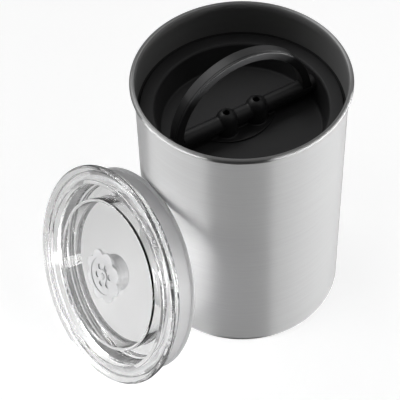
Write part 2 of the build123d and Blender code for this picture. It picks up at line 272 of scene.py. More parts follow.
# %% The nodes of a finish or of the sky
class Nodes:
    """Adds nodes to a tree and joins them."""

    def __init__(self, tree):
        self.tree = tree

    def node(self, kind, settings=None, inputs=None, output=0):
        """Adds a node: its settings first, then the values or wires of its sockets."""
        made = self.tree.nodes.new("ShaderNode" + kind)
        for key, value in (settings or {}).items():
            setattr(made, key, value)
        for key, value in (inputs or {}).items():
            self.feed(made.inputs[key], value)
        return Wire(self, made.outputs[output])

    def feed(self, socket, value):
        if isinstance(value, Wire):
            self.tree.links.new(value.socket, socket)
        else:
            socket.default_value = value

    def ray(self, kind):
        """1 for rays of one kind, such as Camera, and 0 for all others."""
        return self.node("LightPath", output=f"Is {kind} Ray")

    def choose(self, share, first, second, output="Material Output"):
        """Mixes two shaders and shows the result."""
        both = self.node("MixShader", inputs={0: share, 1: first, 2: second})
        self.feed(self.tree.nodes[output].inputs["Surface"], both)

    def parts(self, vector):
        """The three numbers in a vector."""
        split = self.node("SeparateXYZ", inputs={0: vector})
        return [Wire(self, socket) for socket in split.socket.node.outputs]

    def noise(self, vector, scale, detail=2.0, roughness=0.5):
        inputs = {"Vector": vector, "Scale": scale, "Detail": detail, "Roughness": roughness}
        return self.node("TexNoise", inputs=inputs)

    def stretch(self, vector, scale):
        return self.node("Mapping", inputs={"Vector": vector, "Scale": scale})

    def fade(self, value, start, end, low=0.0, high=1.0):
        """Goes from low to high as value goes from start to end, and stays there."""
        inputs = {"Value": value, "From Min": start, "From Max": end, "To Min": low, "To Max": high}
        return self.node("MapRange", {"interpolation_type": "SMOOTHSTEP"}, inputs)

    def blend(self, share, first, second):
        """Mixes two colours."""
        inputs = {0: share, 6: first, 7: second}
        return self.node("Mix", {"data_type": "RGBA"}, inputs, output=2)

    def tint(self, level, blue=None):
        """A grey of one level, with its blue a little apart where that is given."""
        return self.node("CombineColor", inputs={0: level, 1: level, 2: level if blue is None else blue})

    def bump(self, height, distance, strength):
        inputs = {"Height": height, "Distance": distance, "Strength": strength}
        return self.node("Bump", inputs=inputs)


# %% A finish
class Finish(Nodes):
    """A material: constants on its shader's own sockets, and nodes for what varies."""

    def __init__(self, name, **constants):
        self.material = bpy.data.materials.new(name)
        self.material.use_nodes = True
        super().__init__(self.material.node_tree)
        self.shader = self.tree.nodes["Principled BSDF"]
        self.look = Wire(self, self.shader.outputs[0])
        for key, value in constants.items():
            self.shader.inputs[key.replace("_", " ").title().replace("Ior", "IOR")].default_value = value

    def drive(self, **wires):
        """Feeds the shader's sockets, such as base_color or roughness."""
        for key, value in wires.items():
            self.feed(self.shader.inputs[key.replace("_", " ").title()], value)

    def place(self):
        return self.node("TexCoord", output="Object")


def grey(level):
    return (level, level, level, 1.0)


def dress(piece, finish, body=None, stands_for=()):
    """Gives a piece its finish, and says what it rides on and stands for."""
    piece.data.materials.clear()
    piece.data.materials.append(finish.material)
    if body:
        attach(piece, body)
    if stands_for:
        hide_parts(*stands_for)
    print(piece.name, "faces", len(piece.data.polygons))
    return piece

# %% [markdown]
# ## Brushed steel
#
# The tube is brushed on a lathe, so its scratches run round it. A noise that is stretched far along
# X and Y and hardly along Z gives such streaks on any round body. Two layers are used: hair-fine
# scratches and wider, weaker bands, which can be seen from a step away. Scratches that run round
# the body smear its highlights up and down, across themselves. The shader's own direction on an
# upright wall would smear them sideways, so it is given a quarter turn. In the bore the colour is
# painted dark and less metallic, ending in a soft edge under the rim. This is painted shade, standing
# in for the dark inner lid that the bare steel mirrors there. The rolled rim is smoother than the
# wall, because rolling polishes it, and its colour is painted darker, as painted shade for the dark
# bore it mirrors.

# %% Brushed steel
steel_level = 0.58
steel_blue = steel_level + 0.004
# Painted shade: the bore's colour is painted dark, dull and less metallic, standing in for the dark inner
# lid that the bare steel mirrors.
painted_bore_shade_level = 0.21
# Painted shade: the rolled rim's colour is painted darker than the wall, standing in for the dark bore it
# mirrors.
painted_rim_shade_level = 0.38
# Painted shade: where the bore's dark painted colour starts and ends, and how much it dulls the metal.
bore_shade_start = bore_radius + 0.3 * mm
bore_shade_end = bore_radius + 1.0 * mm
bore_shade_bottom = 2 * mm
bore_shade_streaks = 0.3
bore_shade_dulling = 0.85
hair_scale = (60, 60, 9000)
band_scale = (14, 14, 900)
cloud_scale = 18.0
steel_roughness = 0.52
rim_polish = 0.15
scratch_depth = 0.004 * mm


def make_steel():
    finish = Finish("brushed_steel", anisotropic=1.0, anisotropic_rotation=0.25)
    place = finish.place()
    x, y, z = finish.parts(place)
    radius = (x * x + y * y).root()
    hair = finish.noise(finish.stretch(place, hair_scale), 1.0, detail=3.0, roughness=0.6) - 0.5
    band = finish.noise(finish.stretch(place, band_scale), 1.0) - 0.5
    cloud = finish.noise(place, cloud_scale) - 0.5
    # Painted shade: inside the bore, above its bottom, the colour is painted dark and the metal dulled.
    inside = finish.fade(radius, bore_shade_start, bore_shade_end, 1.0, 0.0) * (z > bore_shade_bottom)
    rim = (z > canister_height - 2 * rim_curl_radius) * (radius > bore_shade_end)
    streaks = hair * 0.16 + band * 0.10 + cloud * 0.03
    brushed = finish.tint(streaks + steel_level, blue=streaks + steel_blue)
    # Painted shade: the rim's colour is painted darker; its lower roughness is real polish.
    rolled = finish.tint(streaks + painted_rim_shade_level)
    painted_bore_shade_colour = finish.tint(streaks * bore_shade_streaks + painted_bore_shade_level)
    finish.drive(base_color=finish.blend(inside, finish.blend(rim, brushed, rolled), painted_bore_shade_colour),
                 roughness=band * 0.12 + hair * 0.1 + steel_roughness - rim * rim_polish,
                 metallic=1.0 - inside * bore_shade_dulling,
                 normal=finish.bump(hair, scratch_depth, 0.5))
    return finish


steel = make_steel()
print("steel finish with", len(steel.tree.nodes), "nodes")

# %% [markdown]
# ## Black moulded plastic
#
# The inner lid is moulded in a spark-eroded tool, which leaves a fine grain. A fine noise gives the
# grain as a bump, and a larger, fainter one varies the colour and the sheen, because a hand-worn
# black part never reflects evenly.


# %% Black plastic for the lid, the bar and the bail
def make_plastic(name, level, sheen, grain):
    finish = Finish(name, ior=1.48)
    place = finish.place()
    cloud = finish.noise(place, 45.0, detail=3.0)
    fine = finish.noise(place, 2600.0, detail=2.0)
    tone = finish.fade(cloud, 0.3, 0.7, level * 0.9, level * 1.12)
    finish.drive(base_color=finish.tint(tone, blue=tone * 1.03),
                 roughness=finish.fade(cloud, 0.3, 0.7, sheen - 0.04, sheen + 0.05),
                 normal=finish.bump(fine, grain, 0.6))
    return finish


dish_plastic = make_plastic("dish_plastic", level=0.038, sheen=0.50, grain=0.030 * mm)
bar_plastic = make_plastic("bar_plastic", level=0.024, sheen=0.40, grain=0.018 * mm)
bail_plastic = make_plastic("bail_plastic", level=0.034, sheen=0.38, grain=0.022 * mm)


# %% Black silicone for the wiper and the small seals
def make_rubber():
    finish = Finish("black_silicone", ior=1.42)
    place = finish.place()
    dust = finish.noise(place, 900.0, detail=4.0, roughness=0.65)
    tone = finish.fade(dust, 0.45, 0.8, 0.022, 0.04)
    finish.drive(base_color=finish.tint(tone),
                 roughness=finish.fade(dust, 0.3, 0.8, 0.62, 0.75),
                 normal=finish.bump(dust, 0.02 * mm, 0.4))
    return finish


rubber = make_rubber()

# %% [markdown]
# ## Clear plastic
#
# The outer lid is a thick clear moulding. Its concentric lines are not drawn: they come from light
# that bends at the real steps and walls of the mesh. Lamps would cast a dark shadow through such a
# solid, so for shadow rays the shader turns plainly transparent.


# %% Clear plastic for the outer lid
def make_clear():
    finish = Finish("clear_plastic", ior=1.49, transmission_weight=1.0)
    place = finish.place()
    swirl = finish.noise(place, 60.0, detail=2.0)
    wipe = finish.noise(finish.stretch(place, (30, 30, 300)), 1.0, detail=3.0)
    tone = finish.fade(swirl, 0.3, 0.7, 0.965, 0.985)
    finish.drive(base_color=finish.tint(tone),
                 roughness=finish.fade(wipe, 0.4, 0.8, 0.0, 0.03),
                 normal=finish.bump(swirl, 0.002 * mm, 0.1))
    through = finish.node("BsdfTransparent", inputs={"Color": grey(0.93)})
    finish.choose(finish.ray("Shadow"), finish.look, through)
    return finish


clear = make_clear()


# %% Frosted silicone for the gasket, and milky silicone for the vent valve
def make_silicone(name, level, through, sheen, weave):
    finish = Finish(name, ior=1.41, transmission_weight=through)
    place = finish.place()
    cloud = finish.noise(place, 90.0, detail=2.0)
    speck = finish.noise(place, 1500.0, detail=3.0)
    tone = finish.fade(cloud, 0.3, 0.7, level * 0.97, level * 1.03) + (speck - 0.5) * weave
    finish.drive(base_color=finish.tint(tone, blue=tone * 1.01),
                 roughness=finish.fade(speck, 0.3, 0.7, sheen - 0.06, sheen + 0.06),
                 normal=finish.bump(speck, 0.04 * mm, 0.5))
    return finish


frosted = make_silicone("frosted_silicone", level=0.40, through=0.25, sheen=0.45, weave=0.06)
milky = make_silicone("valve_silicone", level=0.66, through=0.45, sheen=0.35, weave=0.02)
print("finishes made:", len(bpy.data.materials))

# %% [markdown]
# ## The canister's wall
#
# The rim is rolled outwards, which stiffens it and hides the sheet's edge. The section is traced up
# the bore, round the outside of the curl, back round its inside and down the outer face, so the
# open gap of the curl is there under the rim, as on the real one.

# %% Canister wall
wall_steps = 288


def arc(centre, radius, start, end, count):
    """Points along an arc, given in degrees from the outward direction."""
    angles = [radians(start + (end - start) * k / count) for k in range(count + 1)]
    return [(centre[0] + radius * cos(a), centre[1] + radius * sin(a)) for a in angles]


def make_wall():
    centre = (bore_radius + rim_curl_radius, canister_height - rim_curl_radius)
    end = rim_curl_gap - 180
    outline = [(bore_radius, wall_low.z)]
    outline += arc(centre, rim_curl_radius, 180, end, 40)
    outline += arc(centre, rim_curl_radius - wall_thickness, end, 180, 32)
    outline.append((canister_radius, wall_low.z))
    return turned("canister_shell", outline, steps=wall_steps)


dress(make_wall(), steel, "canister", ["canister_wall"])
dress(nodes["canister_base"], steel)

# %% [markdown]
# ## The inner lid's dish
#
# One moulding makes the flat ring, the dish and the skirt. Every corner of a moulding has a small
# radius, and those radii are what catch the light, so each is rounded on the wire before it is spun.

# %% Sizes of the inner lid
ring_top = canister_height - 24.0 * mm
ring_slope = 0.4 * mm
ring_gap = 1.8 * mm
ring_radius = bore_radius - ring_gap
ring_width = 8.7 * mm
ring_thickness = 2.2 * mm
ring_lip = 1.0 * mm
dish_depth = 17.0 * mm
dish_floor = ring_top - dish_depth
dish_mouth_radius = ring_radius - ring_width
dish_draft = 2.9 * mm
dish_floor_radius = dish_mouth_radius - dish_draft
dish_corner_round = 1.2 * mm
dish_wall_thickness = 2.0 * mm
floor_thickness = 2.4 * mm
skirt_thickness = 2.0 * mm
skirt_height = 9.6 * mm
seal_groove_depth = 1.2 * mm
seal_groove_top = 1.9 * mm
seal_height = 5.6 * mm
seal_lip_thickness = 0.7 * mm
seal_lip_rise = 1.5 * mm
seal_clearance = 0.1 * mm
bar_azimuth = radians(31.7)
dome_spacing = 20.8 * mm
stem_radius = 4.4 * mm
stem_clearance = 0.1 * mm
print("dish floor", round(dish_floor / mm, 1), "mm up, mouth",
      round(2 * dish_mouth_radius / mm, 1), "mm wide")

# %% Inner lid dish
lid_steps = 224


def stem_places():
    """Where the crossbar's two stems go through the dish floor."""
    along = Vector((cos(bar_azimuth), sin(bar_azimuth), 0))
    return [along * side * dome_spacing / 2 for side in (-1, 1)]


def make_dish():
    groove_floor = ring_radius - seal_groove_depth
    groove_top = ring_top - seal_groove_top
    groove_bottom = groove_top - seal_height
    skirt_inner = groove_floor - skirt_thickness
    skirt_bottom = ring_top - skirt_height
    underside = ring_top - ring_thickness
    floor_bottom = dish_floor - floor_thickness
    inside_corner = (dish_floor_radius, dish_floor)
    outside_corner = (dish_floor_radius + dish_wall_thickness, floor_bottom)
    lip_low = (dish_mouth_radius, ring_top - ring_lip)
    lip_high = (dish_mouth_radius + ring_lip, ring_top)
    rim = (ring_radius, ring_top + ring_slope)
    skirt_edge = (ring_radius, skirt_bottom)
    outline = [(0, dish_floor), inside_corner, lip_low, lip_high, rim,
               (ring_radius, groove_top), (groove_floor, groove_top),
               (groove_floor, groove_bottom), (ring_radius, groove_bottom), skirt_edge,
               (skirt_inner, skirt_bottom), (skirt_inner, underside),
               (dish_mouth_radius + dish_wall_thickness, underside), outside_corner,
               (0, floor_bottom)]
    rounds = [(inside_corner, dish_corner_round), (lip_low, ring_lip / 3),
              (lip_high, ring_lip / 3), (rim, ring_slope), (skirt_edge, ring_slope),
              (outside_corner, dish_wall_thickness)]
    dish = turned("inner_lid_moulding", outline, rounds, steps=lid_steps)
    for place in stem_places():
        hole = rod(stem_radius + stem_clearance, 4 * floor_thickness,
                   place + Vector((0, 0, dish_floor)))
        combine(dish, hole, "DIFFERENCE")
    return smooth(tidy_mesh(dish))


dress(make_dish(), dish_plastic, "inner_lid", ["inner_lid_dish"])


# %% Wiper seal round the inner lid
def make_seal():
    inner = ring_radius - seal_groove_depth
    top = ring_top - seal_groove_top
    bottom = top - seal_height
    tip = bore_radius - seal_clearance
    root = ring_radius + seal_lip_thickness / 2
    top_tip = ring_top + ring_slope
    low_tip = bottom + seal_lip_rise / 2
    lips = [(tip, low_tip), (tip, low_tip + seal_lip_thickness), (tip, top_tip - seal_lip_thickness),
            (tip, top_tip)]
    outline = [(inner, bottom), (root, bottom), *lips[:2], (root, bottom + seal_lip_rise),
               (root, top - seal_lip_rise), *lips[2:], (ring_radius, top), (inner, top)]
    rounds = [(lip, seal_lip_thickness / 3) for lip in lips]
    return turned("wiper_seal", outline, rounds, steps=lid_steps)


dress(make_seal(), rubber, "inner_lid", ["inner_lid_seal"])

# %% [markdown]
# ## The crossbar
#
# The bar, the web under it, the lens-shaped pad and the two domes are one moulding, so they are
# joined from simple rods and blocks. Where such a moulding's faces meet, the tool leaves soft
# inside corners. A voxel remesh of the joined shape, smoothed a little, makes all of them at once.
# The holes are cut afterwards, because the remesh would blur them.

# %% Sizes of the crossbar and the bail
bar_radius = 5.0 * mm
bar_rise = 4.5 * mm
bar_axis_height = bar_rise + bar_radius
bar_end_clearance = 0.55 * mm
dish_flare = dish_draft / (dish_depth - ring_lip)
bar_reach = dish_floor_radius + dish_flare * bar_axis_height - bar_end_clearance
web_half_width = 2.0 * mm
bore_clearance = 0.05 * mm
dome_radius = 6.7 * mm
dome_rise = 1.3 * mm
dome_centre_height = bar_axis_height + dome_rise
vent_radius = 2.0 * mm
vent_lead_in = 0.6 * mm
pad_half_length = 24.5 * mm
pad_half_width = 12.4 * mm
pad_thickness = 0.7 * mm
pad_gasket_thickness = 0.5 * mm
stem_reach = 2.3 * mm
spindle_radius = 3.0 * mm
spindle_square = 3.4 * mm
bail_end_setback = 3.15 * mm
bail_radius = bar_reach - bail_end_setback
bail_band = 5.2 * mm
bail_thickness = 8.2 * mm
bail_boss_radius = bail_thickness / 2
bail_gap = 0.3 * mm
print("bar axis", round(bar_axis_height / mm, 1), "mm over the dish floor, bar",
      round(2 * bar_reach / mm, 1), "mm long")

# %% Shapes that the crossbar is joined from
bar_place = Matrix.Translation((0, 0, dish_floor)) @ Matrix.Rotation(bar_azimuth, 4, "Z")
along_bar = (0, pi / 2, 0)


def lens(half_length, half_width, bottom, top, sides=320):
    """The pad's shape: what two large discs have in common."""
    radius = (half_length ** 2 + half_width ** 2) / (2 * half_width)
    shift = radius - half_width
    middle = (bottom + top) / 2
    pad = rod(radius, top - bottom, (0, shift, middle), sides=sides)
    other = rod(radius, 4 * (top - bottom), (0, -shift, middle), sides=sides)
    return combine(pad, other, "INTERSECT")


def lump(*pieces):
    """Puts overlapping pieces in one object, for a remesh to make one skin of them."""
    bpy.ops.object.select_all(action="DESELECT")
    for piece in pieces:
        piece.select_set(True)
    bpy.context.view_layer.objects.active = pieces[0]
    bpy.ops.object.join()
    return bpy.context.object


def make_dome(x):
    bpy.ops.object.select_all(action="DESELECT")
    bpy.ops.mesh.primitive_uv_sphere_add(
        segments=64, ring_count=32, radius=dome_radius, location=(x, 0, dome_centre_height))
    dome = bpy.context.object
    bpy.ops.object.transform_apply(location=True, rotation=True, scale=True)
    column = dome_centre_height - pad_gasket_thickness
    return lump(dome, rod(dome_radius, column, (x, 0, pad_gasket_thickness + column / 2)))


def make_dish_room():
    """The room that the dish leaves for the bar, a little clear of its sloping wall."""
    mouth = dish_depth - ring_lip
    corner = (dish_floor_radius - bar_end_clearance, 0)
    top = (dish_mouth_radius - bar_end_clearance, mouth + bar_radius)
    wall_top = (dish_mouth_radius - bar_end_clearance, mouth)
    points = [(0, 0), corner, wall_top, top, (0, mouth + bar_radius)]
    return turn(trace("dish_room", points, [(corner, dish_corner_round)]), steps=256)

# %% One skin over the joined shapes
bar_voxel = 0.28 * mm


def remesh(piece, voxel):
    only(piece)
    skin = piece.modifiers.new("Remesh", "REMESH")
    skin.mode = "VOXEL"
    skin.voxel_size = voxel
    bpy.ops.object.modifier_apply(modifier=skin.name)
    return piece


def soften(piece, voxel, passes, keep):
    """Remeshes a piece finely, smooths its edges and thins the result."""
    remesh(piece, voxel)
    relax = piece.modifiers.new("Smooth", "SMOOTH")
    relax.factor = 0.5
    relax.iterations = passes
    bpy.ops.object.modifier_apply(modifier=relax.name)
    thin = piece.modifiers.new("Decimate", "DECIMATE")
    thin.ratio = keep
    bpy.ops.object.modifier_apply(modifier=thin.name)
    return piece

# %% The bar, with a notch at each end for the bail
bar_sides = 96


def make_bar():
    reach = bar_reach + bar_radius
    tube = rod(bar_radius, 2 * reach, (0, 0, bar_axis_height), along_bar, sides=bar_sides)
    named(tube, "crossbar_moulding")
    web = block((-reach, -web_half_width, 0), (reach, web_half_width, bar_axis_height))
    pad_top = pad_gasket_thickness + pad_thickness
    pad = lens(pad_half_length, pad_half_width, pad_gasket_thickness, pad_top)
    domes = [make_dome(side * dome_spacing / 2) for side in (-1, 1)]
    bar = remesh(lump(tube, web, pad, *domes), bar_voxel)
    combine(bar, make_dish_room(), "INTERSECT")
    notch_front = -bail_boss_radius - bail_gap
    notch_floor = bar_axis_height - bail_boss_radius - bail_gap
    notch_inner, notch_outer = bail_radius - bail_band - bail_gap, bail_radius + bail_gap
    for side in (-1, 1):
        near, far = sorted((side * notch_inner, side * notch_outer))
        notch = block((near, notch_front, notch_floor), (far, 2 * bar_radius, 4 * bar_radius))
        combine(bar, notch, "DIFFERENCE")
    return bar


# %% Holes in the bar
def drill_bar(bar):
    """The two vents with their lead-ins and stems, and the bore for the valve spindle."""
    crown = dome_centre_height + sqrt(dome_radius ** 2 - vent_radius ** 2)
    stem_bottom = -floor_thickness - stem_reach
    below, above = stem_bottom - bar_radius, crown + bar_radius
    stem_length = pad_gasket_thickness + pad_thickness / 2 - stem_bottom
    for side in (-1, 1):
        across = side * dome_spacing / 2
        stem = rod(stem_radius, stem_length, (across, 0, stem_bottom + stem_length / 2))
        combine(bar, stem, "UNION")
        drill = turn(trace("vent_drill", [
            (0, below), (vent_radius, below), (vent_radius, crown - vent_lead_in),
            (vent_radius + vent_lead_in, crown), (vent_radius + vent_lead_in, above), (0, above)]), steps=64)
        combine(bar, placed(drill, Matrix.Translation((across, 0, 0))), "DIFFERENCE")
    bore = rod(spindle_radius + bore_clearance, 3 * bar_reach, (0, 0, bar_axis_height),
               along_bar, sides=bar_sides)
    return combine(bar, bore, "DIFFERENCE")


bar = drill_bar(soften(make_bar(), bar_voxel, passes=5, keep=0.35))
bar = smooth(placed(tidy_mesh(bar), bar_place), angle=radians(40))
dress(bar, bar_plastic, "inner_lid", ["crossbar"])
for name in ("crossbar_gasket", *(f"spindle_seal_{number}" for number in range(1, 5))):
    dress(nodes[name], rubber)
for name in ("vent_retainer_left", "vent_retainer_right", "valve_spindle"):
    dress(nodes[name], bar_plastic)

# %% [markdown]
# ## The bail handle
#
# The bail is a flat half ring. Its section is a rounded oblong with a fine groove behind its front
# edge, where the two halves of the mould meet. It is spun half a turn about the hinge, and its two
# open ends are then filled. A round boss on each end clips over the squared end of the spindle.

# %% Bail handle
bail_edge_round = 0.7 * mm
bail_line_place = 1.9 * mm
bail_line_width = 0.45 * mm
bail_line_depth = 0.35 * mm
bail_steps = 120
spindle_slot_clearance = 0.05 * mm
bail_tilt = radians(87)


def make_bail():
    inner, outer = bail_radius - bail_band, bail_radius
    half = bail_thickness / 2
    corners = [(inner, -half), (outer, -half), (outer, half), (inner, half)]
    line = bail_line_place - half
    groove = [(outer, line - bail_line_width), (outer - bail_line_depth, line - bail_line_width / 2),
              (outer, line)]
    section = [*corners[:2], *groove, *corners[2:]]
    arch = trace("bail_moulding", section, [(corner, bail_edge_round) for corner in corners])
    placed(arch, Matrix.Rotation(-pi / 2, 4, "X"))
    edit(arch)
    bpy.ops.mesh.select_all(action="SELECT")
    bpy.ops.mesh.spin(steps=bail_steps, angle=pi, center=(0, 0, 0), axis=(0, 1, 0))
    for side in (-1, 1):
        bpy.ops.mesh.select_all(action="DESELECT")
        pick(arch, lambda place: abs(place.z) < weld and place.x * side > 0)
        bpy.ops.mesh.edge_face_add()
    bpy.ops.mesh.select_all(action="SELECT")
    bpy.ops.mesh.normals_make_consistent(inside=False)
    done()
    middle = (inner + outer) / 2
    slot_half = spindle_square / 2 + spindle_slot_clearance
    for side in (-1, 1):
        boss = rod(bail_boss_radius - weld, bail_band - weld, (side * middle, 0, 0), along_bar,
                   sides=bar_sides)
        combine(arch, boss, "UNION")
        slot = block((side * middle - bail_band, -slot_half, -2 * bail_boss_radius),
                     (side * middle + bail_band, slot_half, slot_half))
        combine(arch, slot, "DIFFERENCE")
    return tidy_mesh(arch)


bail_place = (Matrix.Translation((0, 0, dish_floor + bar_axis_height))
              @ Matrix.Rotation(bar_azimuth, 4, "Z") @ Matrix.Rotation(bail_tilt - pi / 2, 4, "X"))
bail = smooth(placed(make_bail(), bail_place), angle=radians(35))
dress(bail, bail_plastic, "bail", ["bail_handle"])

# %% [markdown]
# ## The clear outer lid
#
# The lid's lines are its section: an edge, two steps, a raised land, a deep trough and a flat
# centre. Behind the edge, a narrower step rests on the canister's rim when the lid is on, and the
# plug goes into the bore. All of it is traced with its corners rounded, spun, and then leaned on the
# canister. Its place is taken from the washer under the vent valve, which is centred on its axis.

# %% Sizes of the outer lid, about its own axis with its top face at height 0
gasket_squeeze = 0.4 * mm
gasket_thickness = 2.8 * mm
gasket_lip = 1.4 * mm
gasket_radius = bore_radius + gasket_squeeze
gasket_lip_radius = gasket_radius + gasket_lip
gasket_lip_height = 1.0 * mm
plug_radius = gasket_radius - gasket_thickness
plug_lip = 0.9 * mm
plug_wall = 2.4 * mm
trough_width = 9.2 * mm
trough_outer_radius = plug_radius - plug_wall
trough_inner_radius = trough_outer_radius - trough_width
trough_draft = 0.7 * mm
trough_inner_draft = 1.2 * mm
trough_depth = 14.6 * mm
trough_round = 1.4 * mm
land_width = 2.6 * mm
ledge_width = 4.0 * mm
land_radius = trough_outer_radius + land_width
ledge_radius = land_radius + ledge_width
ledge_drop = 0.6 * mm
shoulder_drop = 0.2 * mm
cover_overhang = 3.8 * mm
cover_radius = bore_radius + 2 * rim_curl_radius + cover_overhang
cover_edge_width = 1.9 * mm
cover_edge_drop = 1.9 * mm
cover_edge_round = 1.1 * mm
shoulder_radius = cover_radius - cover_edge_width
flange_thickness = 4.8 * mm
rest_depth = 8.6 * mm
rest_overlap = 2.6 * mm
rest_radius = bore_radius + rest_overlap
cover_thickness = 2.2 * mm
plate_drop = 1.5 * mm
plug_skirt_height = 4.5 * mm
plug_depth = trough_depth + cover_thickness + plug_skirt_height
lean_azimuth = radians(216.2)
lean_angle = radians(20.6)
print("outer lid", round(2 * cover_radius / mm, 1), "mm wide, its plug",
      round(plug_depth / mm, 1), "mm deep")

# %% Sizes of the vent valve in the outer lid
valve_flange_radius = 17.0 * mm
valve_flange_thickness = 1.5 * mm
valve_petals = 8
valve_petal_radius = 5.2 * mm
valve_rim_width = 5.0 * mm
valve_well_radius = valve_flange_radius - valve_rim_width
valve_well_depth = 0.7 * mm
valve_hub_radius = 4.2 * mm
valve_windows = 6
valve_window_radius = 1.9 * mm
valve_neck_radius = 9.6 * mm
valve_neck_wall = 1.2 * mm
valve_neck_bore = valve_neck_radius - valve_neck_wall
valve_window_margin = 0.2 * mm
valve_window_circle = valve_neck_bore - valve_window_margin - valve_window_radius
valve_neck_reach = 4.6 * mm
valve_hole_clearance = 0.15 * mm
valve_hole_radius = valve_neck_radius + valve_hole_clearance
valve_stem_bore = 1.25 * mm
washer_thickness = 0.8 * mm
cup_wall = 1.1 * mm
cup_fit = 0.05 * mm
cup_side = 1.85 * mm
cup_radius = valve_neck_radius + cup_fit + cup_side
cup_length = 8.8 * mm
cup_round = 1.6 * mm
cup_hole_radius = 1.1 * mm
cup_hole_circle = 5.6 * mm
plate_underside = -plate_drop - cover_thickness
valve_base = -plate_drop + washer_thickness
valve_top = valve_base + valve_flange_thickness
print("valve", round(2 * valve_flange_radius / mm, 1), "mm wide, cup",
      round(cup_length / mm, 1), "mm long")

# %% Where the lid leans
lid_turn = Matrix.Rotation(lean_azimuth, 4, "Z") @ Matrix.Rotation(pi / 2 - lean_angle, 4, "Y")
washer_low, washer_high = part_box("lid_valve_washer")
washer_height = -plate_drop + washer_thickness / 2
lid_centre = (washer_low + washer_high) / 2 - lid_turn @ Vector((0, 0, washer_height))
lid_place = Matrix.Translation(lid_centre) @ lid_turn
print("outer lid centre", [round(v / mm, 1) for v in lid_centre], "mm")

# %% Outer lid cover
cover_steps = 256


def make_cover():
    floor = -trough_depth
    edge_radius = cover_radius - cover_edge_round
    lip_top = -plug_depth + plug_lip
    plug_inner = plug_radius - 2 * cover_thickness
    inner_foot_radius = trough_inner_radius - trough_inner_draft
    plate_edge = (trough_inner_radius, -plate_drop)
    inner_foot = (inner_foot_radius, floor)
    outer_foot = (trough_outer_radius - trough_draft, floor)
    trough_mouth = (trough_outer_radius, 0)
    land_edge = (land_radius, 0)
    ledge_edge = (ledge_radius, -ledge_drop)
    shoulder = (shoulder_radius, -shoulder_drop)
    outer_edge = (cover_radius, -cover_edge_drop)
    rear_edge = (edge_radius, -flange_thickness)
    rest_edge = (rest_radius, -rest_depth)
    skirt_outer = (plug_radius + plug_lip, -plug_depth)
    skirt_inner = (plug_inner, -plug_depth)
    outline = [(valve_hole_radius, -plate_drop), plate_edge, inner_foot, outer_foot, trough_mouth,
               land_edge, (land_radius, -ledge_drop), ledge_edge, (ledge_radius, -shoulder_drop),
               shoulder, outer_edge, rear_edge, (rest_radius, -flange_thickness),
               rest_edge, (plug_radius, -rest_depth), (plug_radius, lip_top),
               (plug_radius + plug_lip, lip_top), skirt_outer, skirt_inner,
               (plug_inner, floor - cover_thickness),
               (inner_foot_radius - cover_thickness, floor - cover_thickness),
               (trough_inner_radius - cover_thickness, plate_underside),
               (valve_hole_radius, plate_underside)]
    rounds = [(corner, trough_round) for corner in (plate_edge, inner_foot, outer_foot)]
    rounds += [(corner, ledge_drop / 2) for corner in (trough_mouth, land_edge, ledge_edge)]
    rounds += [(outer_edge, cover_edge_round), (rear_edge, ledge_drop / 2), (shoulder, ledge_drop / 2),
               (rest_edge, ledge_drop), (skirt_outer, plug_lip / 3), (skirt_inner, plug_lip / 3)]
    return placed(turned("outer_lid_moulding", outline, rounds, steps=cover_steps), lid_place)


dress(make_cover(), clear, "outer_lid", ["outer_lid_cover"])

# %% Outer lid gasket
gasket_edge_round = 0.4 * mm
gasket_lip_round = 0.3 * mm


def make_gasket():
    top = -rest_depth
    bottom = -plug_depth + plug_lip
    low_edge = (gasket_lip_radius, bottom)
    lip_edge = (gasket_lip_radius, bottom + gasket_lip_height)
    high_edge = (gasket_radius, top)
    outline = [(plug_radius, bottom), low_edge, lip_edge,
               (gasket_radius, bottom + 2 * gasket_lip_height), high_edge, (plug_radius, top)]
    rounds = [(low_edge, gasket_edge_round), (lip_edge, gasket_lip_round),
              (high_edge, gasket_edge_round)]
    return placed(turned("plug_gasket", outline, rounds, steps=cover_steps), lid_place)


dress(make_gasket(), frosted, "outer_lid", ["outer_lid_gasket"])

# %% [markdown]
# ## The vent valve
#
# A disc with eight shallow petals is pushed through the lid's middle and holds a silicone flap, and
# a cup behind the lid keeps grounds off it. The petals are rods joined to a disc; a well, six
# windows and a hub are cut from it, and a small bevel takes the edge off all of them.

# %% Vent valve body
valve_edge_round = 0.15 * mm


def round_places(count, radius):
    """Places spread evenly round a circle."""
    angles = [tau * k / count for k in range(count)]
    return [Vector((radius * cos(angle), radius * sin(angle), 0)) for angle in angles]


def make_valve():
    centre = Vector((0, 0, (valve_base + valve_top) / 2))
    disc_radius = valve_flange_radius - valve_petal_radius / 2
    valve = named(rod(disc_radius, valve_flange_thickness, centre, sides=96), "vent_valve")
    for place in round_places(valve_petals, valve_flange_radius - valve_petal_radius):
        combine(valve, rod(valve_petal_radius, valve_flange_thickness, place + centre), "UNION")
    well_floor = valve_top - valve_well_depth
    well = turn(trace("well_cutter", [
        (valve_hub_radius, well_floor), (valve_well_radius, well_floor),
        (valve_well_radius, 2 * valve_top), (valve_hub_radius, 2 * valve_top)]), steps=96)
    combine(valve, well, "DIFFERENCE")
    drill_length = 4 * valve_flange_thickness
    for place in round_places(valve_windows, valve_window_circle):
        window = rod(valve_window_radius, drill_length, place + centre, sides=32)
        combine(valve, window, "DIFFERENCE")
    combine(valve, rod(valve_stem_bore, drill_length, centre, sides=32), "DIFFERENCE")
    tidy_mesh(valve)
    only(valve)
    ease = valve.modifiers.new("Bevel", "BEVEL")
    ease.width = valve_edge_round
    ease.segments = 2
    ease.angle_limit = radians(50)
    bpy.ops.object.modifier_apply(modifier=ease.name)
    neck_bottom = plate_underside - valve_neck_reach
    neck_top = valve_base + valve_well_depth / 2
    neck = turn(trace("valve_neck", [
        (valve_neck_bore, neck_bottom), (valve_neck_radius, neck_bottom),
        (valve_neck_radius, neck_top), (valve_neck_bore, neck_top)]), steps=96)
    combine(valve, neck, "UNION")
    return placed(smooth(tidy_mesh(valve)), lid_place)


dress(make_valve(), milky, "outer_lid", ["lid_valve_body"])


